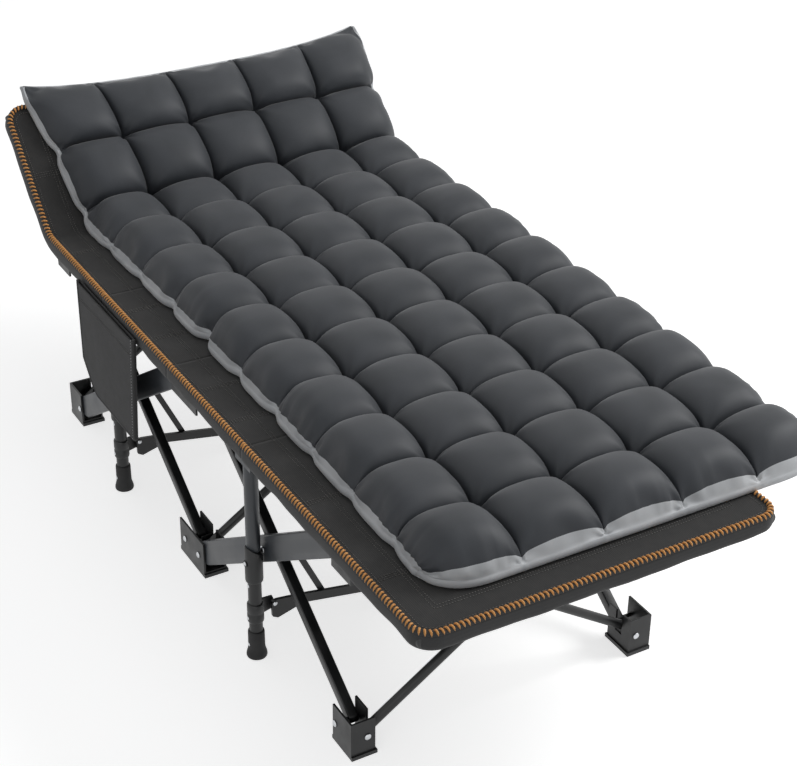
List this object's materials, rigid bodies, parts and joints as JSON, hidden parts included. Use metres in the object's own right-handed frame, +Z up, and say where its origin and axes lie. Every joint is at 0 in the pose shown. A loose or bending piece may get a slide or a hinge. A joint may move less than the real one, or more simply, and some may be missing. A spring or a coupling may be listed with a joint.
{
  "type": "folding cot",
  "caption": "Folding cot with a scissor frame on foot blocks and round legs, hinged side rails, a stretched cloth deck raised at the head, a side pocket and a tufted mattress.",
  "frame": {"origin": "middle of the base of the bounding box, on the floor", "axes": "+X along the bed towards the foot end, +Y towards the far side, +Z up; the side pocket hangs on the -Y side"},
  "size_m": [1.8322, 0.8884, 0.7553],
  "materials": {
    "black_plastic": "fine moulded texture",
    "black_steel": "satin powder coat",
    "grey_steel": "satin grey powder coat",
    "rubber": "matt",
    "deck_fabric": "coated twill, whip-stitched edge",
    "mattress_fabric": "brushed microfibre, tufted"
  },
  "bodies": {
    "foot_block_middle_near": {"foot_block_middle_near": "black_plastic"},
    "wide_bar_foot_near": {"wide_bar_foot_near": "grey_steel"},
    "square_tube_foot_near": {"square_tube_foot_near": "black_steel"},
    "foot_block_foot_near": {"foot_block_foot_near": "black_plastic"},
    "top_bracket_middle_near": {"top_bracket_middle_near": "black_plastic"},
    "top_bracket_foot_near": {"top_bracket_foot_near": "black_plastic"},
    "square_tube_head_near": {"square_tube_head_near": "black_steel"},
    "wide_bar_head_near": {"wide_bar_head_near": "grey_steel"},
    "foot_block_head_near": {"foot_block_head_near": "black_plastic"},
    "top_bracket_head_near": {"top_bracket_head_near": "black_plastic"},
    "middle_rail_head_near": {"middle_rail_head_near": "black_steel", "deck_middle_head": "deck_fabric"},
    "leg_head_near": {"leg_bracket_head_near": "black_plastic", "leg_head_near": "grey_steel", "leg_tip_head_near": "rubber", "side_pocket": "deck_fabric"},
    "end_rail_head_near": {"end_rail_head_near": "black_steel", "deck_end_head": "deck_fabric"},
    "spreader_arm_head_near": {"spreader_arm_head_near": "black_steel"},
    "stay_head_near": {"stay_head_near": "black_steel"},
    "middle_rail_foot_near": {"middle_rail_foot_near": "black_steel", "deck_middle_foot": "deck_fabric"},
    "leg_foot_near": {"leg_bracket_foot_near": "black_plastic", "leg_foot_near": "grey_steel", "leg_tip_foot_near": "rubber"},
    "end_rail_foot_near": {"end_rail_foot_near": "black_steel", "deck_end_foot": "deck_fabric"},
    "spreader_arm_foot_near": {"spreader_arm_foot_near": "black_steel"},
    "stay_foot_near": {"stay_foot_near": "black_steel"},
    "foot_block_middle_far": {"foot_block_middle_far": "black_plastic"},
    "wide_bar_foot_far": {"wide_bar_foot_far": "grey_steel"},
    "square_tube_foot_far": {"square_tube_foot_far": "black_steel"},
    "foot_block_foot_far": {"foot_block_foot_far": "black_plastic"},
    "top_bracket_middle_far": {"top_bracket_middle_far": "black_plastic"},
    "top_bracket_foot_far": {"top_bracket_foot_far": "black_plastic"},
    "square_tube_head_far": {"square_tube_head_far": "black_steel"},
    "wide_bar_head_far": {"wide_bar_head_far": "grey_steel"},
    "foot_block_head_far": {"foot_block_head_far": "black_plastic"},
    "top_bracket_head_far": {"top_bracket_head_far": "black_plastic"},
    "middle_rail_head_far": {"middle_rail_head_far": "black_steel"},
    "leg_head_far": {"leg_bracket_head_far": "black_plastic", "leg_head_far": "grey_steel", "leg_tip_head_far": "rubber"},
    "end_rail_head_far": {"end_rail_head_far": "black_steel"},
    "spreader_arm_head_far": {"spreader_arm_head_far": "black_steel"},
    "stay_head_far": {"stay_head_far": "black_steel"},
    "middle_rail_foot_far": {"middle_rail_foot_far": "black_steel"},
    "leg_foot_far": {"leg_bracket_foot_far": "black_plastic", "leg_foot_far": "grey_steel", "leg_tip_foot_far": "rubber"},
    "end_rail_foot_far": {"end_rail_foot_far": "black_steel"},
    "spreader_arm_foot_far": {"spreader_arm_foot_far": "black_steel"},
    "stay_foot_far": {"stay_foot_far": "black_steel"},
    "cross_tube_head_from_near": {"cross_tube_head_from_near": "black_steel"},
    "cross_tube_head_from_far": {"cross_tube_head_from_far": "black_steel"},
    "cross_tube_middle_from_near": {"cross_tube_middle_from_near": "black_steel"},
    "cross_tube_middle_from_far": {"cross_tube_middle_from_far": "black_steel"},
    "cross_tube_foot_from_near": {"cross_tube_foot_from_near": "black_steel"},
    "cross_tube_foot_from_far": {"cross_tube_foot_from_far": "black_steel"},
    "mattress": {"mattress": "mattress_fabric"}
  },
  "joints": [
    {"name": "frame_fold", "type": "hinge", "parent": "foot_block_middle_near", "child": "wide_bar_foot_near", "pos_m": [-0.00193, -0.38575, 0.042], "axis": [0, -1, 0], "range_deg": [0, 47], "deforming": ["deck_middle_head", "deck_middle_foot", "deck_end_head", "deck_end_foot"]},
    {"name": "square_tube_foot_near_turn", "type": "hinge", "parent": "wide_bar_foot_near", "child": "square_tube_foot_near", "pos_m": [0.28857, -0.38575, 0.236], "axis": [0, 1, 0], "range_deg": [0, 94.2]},
    {"name": "foot_block_foot_near_level", "type": "hinge", "parent": "square_tube_foot_near", "child": "foot_block_foot_near", "pos_m": [0.57907, -0.38575, 0.042], "axis": [0, -1, 0], "range_deg": [0, 47.2]},
    {"name": "top_bracket_middle_near_level", "type": "hinge", "parent": "square_tube_foot_near", "child": "top_bracket_middle_near", "pos_m": [-0.00193, -0.38575, 0.43], "axis": [0, -1, 0], "range_deg": [0, 47.2]},
    {"name": "top_bracket_foot_near_level", "type": "hinge", "parent": "wide_bar_foot_near", "child": "top_bracket_foot_near", "pos_m": [0.57907, -0.38575, 0.43], "axis": [0, 1, 0], "range_deg": [0, 47.2]},
    {"name": "square_tube_head_near_turn", "type": "hinge", "parent": "foot_block_middle_near", "child": "square_tube_head_near", "pos_m": [-0.06593, -0.38575, 0.042], "axis": [0, 1, 0], "range_deg": [0, 47.2]},
    {"name": "wide_bar_head_near_turn", "type": "hinge", "parent": "square_tube_head_near", "child": "wide_bar_head_near", "pos_m": [-0.35643, -0.38575, 0.236], "axis": [0, -1, 0], "range_deg": [0, 94.2]},
    {"name": "foot_block_head_near_level", "type": "hinge", "parent": "wide_bar_head_near", "child": "foot_block_head_near", "pos_m": [-0.64693, -0.38575, 0.042], "axis": [0, 1, 0], "range_deg": [0, 47.2]},
    {"name": "top_bracket_head_near_level", "type": "hinge", "parent": "square_tube_head_near", "child": "top_bracket_head_near", "pos_m": [-0.64693, -0.38575, 0.43], "axis": [0, -1, 0], "range_deg": [0, 47.2]},
    {"name": "middle_rail_head_near_turn", "type": "hinge", "parent": "top_bracket_middle_near", "child": "middle_rail_head_near", "pos_m": [-0.04793, -0.41375, 0.4531], "axis": [0, -1, 0], "range_deg": [0, 78.16]},
    {"name": "leg_head_near_level", "type": "hinge", "parent": "middle_rail_head_near", "child": "leg_head_near", "pos_m": [-0.34393, -0.41375, 0.4531], "axis": [0, 1, 0], "range_deg": [0, 78.16]},
    {"name": "end_rail_head_near_turn", "type": "hinge", "parent": "leg_head_near", "child": "end_rail_head_near", "pos_m": [-0.37393, -0.41375, 0.4531], "axis": [0, 1, 0], "range_deg": [0, 78.16]},
    {"name": "spreader_arm_head_near_turn", "type": "hinge", "parent": "leg_head_near", "child": "spreader_arm_head_near", "pos_m": [-0.35893, -0.37675, 0.112], "axis": [1, 0, 0], "range_deg": [0, 87.38]},
    {"name": "stay_head_near_turn", "type": "hinge", "parent": "spreader_arm_head_near", "child": "stay_head_near", "pos_m": [-0.35893, -0.27003, 0.09356], "axis": [-1, 0, 0], "range_deg": [0, 118.39]},
    {"name": "middle_rail_foot_near_turn", "type": "hinge", "parent": "top_bracket_middle_near", "child": "middle_rail_foot_near", "pos_m": [-0.01993, -0.41375, 0.4531], "axis": [0, 1, 0], "range_deg": [0, 78.16]},
    {"name": "leg_foot_near_level", "type": "hinge", "parent": "middle_rail_foot_near", "child": "leg_foot_near", "pos_m": [0.27607, -0.41375, 0.4531], "axis": [0, -1, 0], "range_deg": [0, 78.16]},
    {"name": "end_rail_foot_near_turn", "type": "hinge", "parent": "leg_foot_near", "child": "end_rail_foot_near", "pos_m": [0.30607, -0.41375, 0.4531], "axis": [0, -1, 0], "range_deg": [0, 78.16]},
    {"name": "spreader_arm_foot_near_turn", "type": "hinge", "parent": "leg_foot_near", "child": "spreader_arm_foot_near", "pos_m": [0.29107, -0.37675, 0.112], "axis": [1, 0, 0], "range_deg": [0, 87.38]},
    {"name": "stay_foot_near_turn", "type": "hinge", "parent": "spreader_arm_foot_near", "child": "stay_foot_near", "pos_m": [0.29107, -0.27003, 0.09356], "axis": [-1, 0, 0], "range_deg": [0, 118.39]},
    {"name": "wide_bar_foot_far_turn", "type": "hinge", "parent": "foot_block_middle_far", "child": "wide_bar_foot_far", "pos_m": [-0.00193, 0.23425, 0.042], "axis": [0, -1, 0], "range_deg": [0, 47.2]},
    {"name": "square_tube_foot_far_turn", "type": "hinge", "parent": "wide_bar_foot_far", "child": "square_tube_foot_far", "pos_m": [0.28857, 0.23425, 0.236], "axis": [0, 1, 0], "range_deg": [0, 94.2]},
    {"name": "foot_block_foot_far_level", "type": "hinge", "parent": "square_tube_foot_far", "child": "foot_block_foot_far", "pos_m": [0.57907, 0.23425, 0.042], "axis": [0, -1, 0], "range_deg": [0, 47.2]},
    {"name": "top_bracket_middle_far_level", "type": "hinge", "parent": "square_tube_foot_far", "child": "top_bracket_middle_far", "pos_m": [-0.00193, 0.23425, 0.43], "axis": [0, -1, 0], "range_deg": [0, 47.2]},
    {"name": "top_bracket_foot_far_level", "type": "hinge", "parent": "wide_bar_foot_far", "child": "top_bracket_foot_far", "pos_m": [0.57907, 0.23425, 0.43], "axis": [0, 1, 0], "range_deg": [0, 47.2]},
    {"name": "square_tube_head_far_turn", "type": "hinge", "parent": "foot_block_middle_far", "child": "square_tube_head_far", "pos_m": [-0.06593, 0.23425, 0.042], "axis": [0, 1, 0], "range_deg": [0, 47.2]},
    {"name": "wide_bar_head_far_turn", "type": "hinge", "parent": "square_tube_head_far", "child": "wide_bar_head_far", "pos_m": [-0.35643, 0.23425, 0.236], "axis": [0, -1, 0], "range_deg": [0, 94.2]},
    {"name": "foot_block_head_far_level", "type": "hinge", "parent": "wide_bar_head_far", "child": "foot_block_head_far", "pos_m": [-0.64693, 0.23425, 0.042], "axis": [0, 1, 0], "range_deg": [0, 47.2]},
    {"name": "top_bracket_head_far_level", "type": "hinge", "parent": "square_tube_head_far", "child": "top_bracket_head_far", "pos_m": [-0.64693, 0.23425, 0.43], "axis": [0, -1, 0], "range_deg": [0, 47.2]},
    {"name": "middle_rail_head_far_turn", "type": "hinge", "parent": "top_bracket_middle_far", "child": "middle_rail_head_far", "pos_m": [-0.04793, 0.26225, 0.4531], "axis": [0, -1, 0], "range_deg": [0, 78.16]},
    {"name": "leg_head_far_level", "type": "hinge", "parent": "middle_rail_head_far", "child": "leg_head_far", "pos_m": [-0.34393, 0.26225, 0.4531], "axis": [0, 1, 0], "range_deg": [0, 78.16]},
    {"name": "end_rail_head_far_turn", "type": "hinge", "parent": "leg_head_far", "child": "end_rail_head_far", "pos_m": [-0.37393, 0.26225, 0.4531], "axis": [0, 1, 0], "range_deg": [0, 78.16]},
    {"name": "spreader_arm_head_far_turn", "type": "hinge", "parent": "leg_head_far", "child": "spreader_arm_head_far", "pos_m": [-0.35893, 0.22525, 0.112], "axis": [-1, 0, 0], "range_deg": [0, 87.38]},
    {"name": "stay_head_far_turn", "type": "hinge", "parent": "spreader_arm_head_far", "child": "stay_head_far", "pos_m": [-0.35893, 0.11853, 0.09356], "axis": [1, 0, 0], "range_deg": [0, 118.39]},
    {"name": "middle_rail_foot_far_turn", "type": "hinge", "parent": "top_bracket_middle_far", "child": "middle_rail_foot_far", "pos_m": [-0.01993, 0.26225, 0.4531], "axis": [0, 1, 0], "range_deg": [0, 78.16]},
    {"name": "leg_foot_far_level", "type": "hinge", "parent": "middle_rail_foot_far", "child": "leg_foot_far", "pos_m": [0.27607, 0.26225, 0.4531], "axis": [0, -1, 0], "range_deg": [0, 78.16]},
    {"name": "end_rail_foot_far_turn", "type": "hinge", "parent": "leg_foot_far", "child": "end_rail_foot_far", "pos_m": [0.30607, 0.26225, 0.4531], "axis": [0, -1, 0], "range_deg": [0, 78.16]},
    {"name": "spreader_arm_foot_far_turn", "type": "hinge", "parent": "leg_foot_far", "child": "spreader_arm_foot_far", "pos_m": [0.29107, 0.22525, 0.112], "axis": [-1, 0, 0], "range_deg": [0, 87.38]},
    {"name": "stay_foot_far_turn", "type": "hinge", "parent": "spreader_arm_foot_far", "child": "stay_foot_far", "pos_m": [0.29107, 0.11853, 0.09356], "axis": [1, 0, 0], "range_deg": [0, 118.39]},
    {"name": "cross_tube_head_from_near_turn", "type": "hinge", "parent": "foot_block_head_near", "child": "cross_tube_head_from_near", "pos_m": [-0.67993, -0.36625, 0.042], "axis": [1, 0, 0], "range_deg": [0, 47.2]},
    {"name": "cross_tube_head_from_far_turn", "type": "hinge", "parent": "cross_tube_head_from_near", "child": "cross_tube_head_from_far", "pos_m": [-0.67993, -0.07575, 0.236], "axis": [-1, 0, 0], "range_deg": [0, 94.2]},
    {"name": "cross_tube_middle_from_near_turn", "type": "hinge", "parent": "foot_block_middle_near", "child": "cross_tube_middle_from_near", "pos_m": [-0.03393, -0.36625, 0.042], "axis": [1, 0, 0], "range_deg": [0, 47.2]},
    {"name": "cross_tube_middle_from_far_turn", "type": "hinge", "parent": "cross_tube_middle_from_near", "child": "cross_tube_middle_from_far", "pos_m": [-0.03393, -0.07575, 0.236], "axis": [-1, 0, 0], "range_deg": [0, 94.2]},
    {"name": "cross_tube_foot_from_near_turn", "type": "hinge", "parent": "foot_block_foot_near", "child": "cross_tube_foot_from_near", "pos_m": [0.61207, -0.36625, 0.042], "axis": [1, 0, 0], "range_deg": [0, 47.2]},
    {"name": "cross_tube_foot_from_far_turn", "type": "hinge", "parent": "cross_tube_foot_from_near", "child": "cross_tube_foot_from_far", "pos_m": [0.61207, -0.07575, 0.236], "axis": [-1, 0, 0], "range_deg": [0, 94.2]},
    {"name": "foot_block_middle_far_level", "type": "hinge", "parent": "cross_tube_middle_from_far", "child": "foot_block_middle_far", "pos_m": [-0.03393, 0.21475, 0.042], "axis": [1, 0, 0], "range_deg": [0, 47.2]},
    {"name": "mattress_lift", "type": "slide", "parent": "foot_block_middle_near", "child": "mattress", "axis": [0, 0, 1], "range_m": [0, 1.352]}
  ],
  "couplings": [
    {"joint": "square_tube_foot_near_turn", "follows": "frame_fold", "ratio": 2},
    {"joint": "foot_block_foot_near_level", "follows": "frame_fold", "ratio": 1},
    {"joint": "top_bracket_middle_near_level", "follows": "frame_fold", "ratio": 1},
    {"joint": "top_bracket_foot_near_level", "follows": "frame_fold", "ratio": 1},
    {"joint": "square_tube_head_near_turn", "follows": "frame_fold", "ratio": 1},
    {"joint": "wide_bar_head_near_turn", "follows": "frame_fold", "ratio": 2},
    {"joint": "foot_block_head_near_level", "follows": "frame_fold", "ratio": 1},
    {"joint": "top_bracket_head_near_level", "follows": "frame_fold", "ratio": 1},
    {"joint": "middle_rail_head_near_turn", "follows": "frame_fold", "ratio": 1.6587},
    {"joint": "leg_head_near_level", "follows": "frame_fold", "ratio": 1.6587},
    {"joint": "end_rail_head_near_turn", "follows": "frame_fold", "ratio": 1.6587},
    {"joint": "spreader_arm_head_near_turn", "follows": "frame_fold", "ratio": 1.8549},
    {"joint": "stay_head_near_turn", "follows": "frame_fold", "ratio": 2.5146},
    {"joint": "middle_rail_foot_near_turn", "follows": "frame_fold", "ratio": 1.6587},
    {"joint": "leg_foot_near_level", "follows": "frame_fold", "ratio": 1.6587},
    {"joint": "end_rail_foot_near_turn", "follows": "frame_fold", "ratio": 1.6587},
    {"joint": "spreader_arm_foot_near_turn", "follows": "frame_fold", "ratio": 1.8549},
    {"joint": "stay_foot_near_turn", "follows": "frame_fold", "ratio": 2.5146},
    {"joint": "wide_bar_foot_far_turn", "follows": "frame_fold", "ratio": 1},
    {"joint": "square_tube_foot_far_turn", "follows": "frame_fold", "ratio": 2},
    {"joint": "foot_block_foot_far_level", "follows": "frame_fold", "ratio": 1},
    {"joint": "top_bracket_middle_far_level", "follows": "frame_fold", "ratio": 1},
    {"joint": "top_bracket_foot_far_level", "follows": "frame_fold", "ratio": 1},
    {"joint": "square_tube_head_far_turn", "follows": "frame_fold", "ratio": 1},
    {"joint": "wide_bar_head_far_turn", "follows": "frame_fold", "ratio": 2},
    {"joint": "foot_block_head_far_level", "follows": "frame_fold", "ratio": 1},
    {"joint": "top_bracket_head_far_level", "follows": "frame_fold", "ratio": 1},
    {"joint": "middle_rail_head_far_turn", "follows": "frame_fold", "ratio": 1.6587},
    {"joint": "leg_head_far_level", "follows": "frame_fold", "ratio": 1.6587},
    {"joint": "end_rail_head_far_turn", "follows": "frame_fold", "ratio": 1.6587},
    {"joint": "spreader_arm_head_far_turn", "follows": "frame_fold", "ratio": 1.8549},
    {"joint": "stay_head_far_turn", "follows": "frame_fold", "ratio": 2.5146},
    {"joint": "middle_rail_foot_far_turn", "follows": "frame_fold", "ratio": 1.6587},
    {"joint": "leg_foot_far_level", "follows": "frame_fold", "ratio": 1.6587},
    {"joint": "end_rail_foot_far_turn", "follows": "frame_fold", "ratio": 1.6587},
    {"joint": "spreader_arm_foot_far_turn", "follows": "frame_fold", "ratio": 1.8549},
    {"joint": "stay_foot_far_turn", "follows": "frame_fold", "ratio": 2.5146},
    {"joint": "cross_tube_head_from_near_turn", "follows": "frame_fold", "ratio": 1},
    {"joint": "cross_tube_head_from_far_turn", "follows": "frame_fold", "ratio": 2},
    {"joint": "cross_tube_middle_from_near_turn", "follows": "frame_fold", "ratio": 1},
    {"joint": "cross_tube_middle_from_far_turn", "follows": "frame_fold", "ratio": 2},
    {"joint": "cross_tube_foot_from_near_turn", "follows": "frame_fold", "ratio": 1},
    {"joint": "cross_tube_foot_from_far_turn", "follows": "frame_fold", "ratio": 2},
    {"joint": "foot_block_middle_far_level", "follows": "frame_fold", "ratio": 1},
    {"joint": "mattress_lift", "follows": "frame_fold", "m_per_rad": 1.6457}
  ]
}
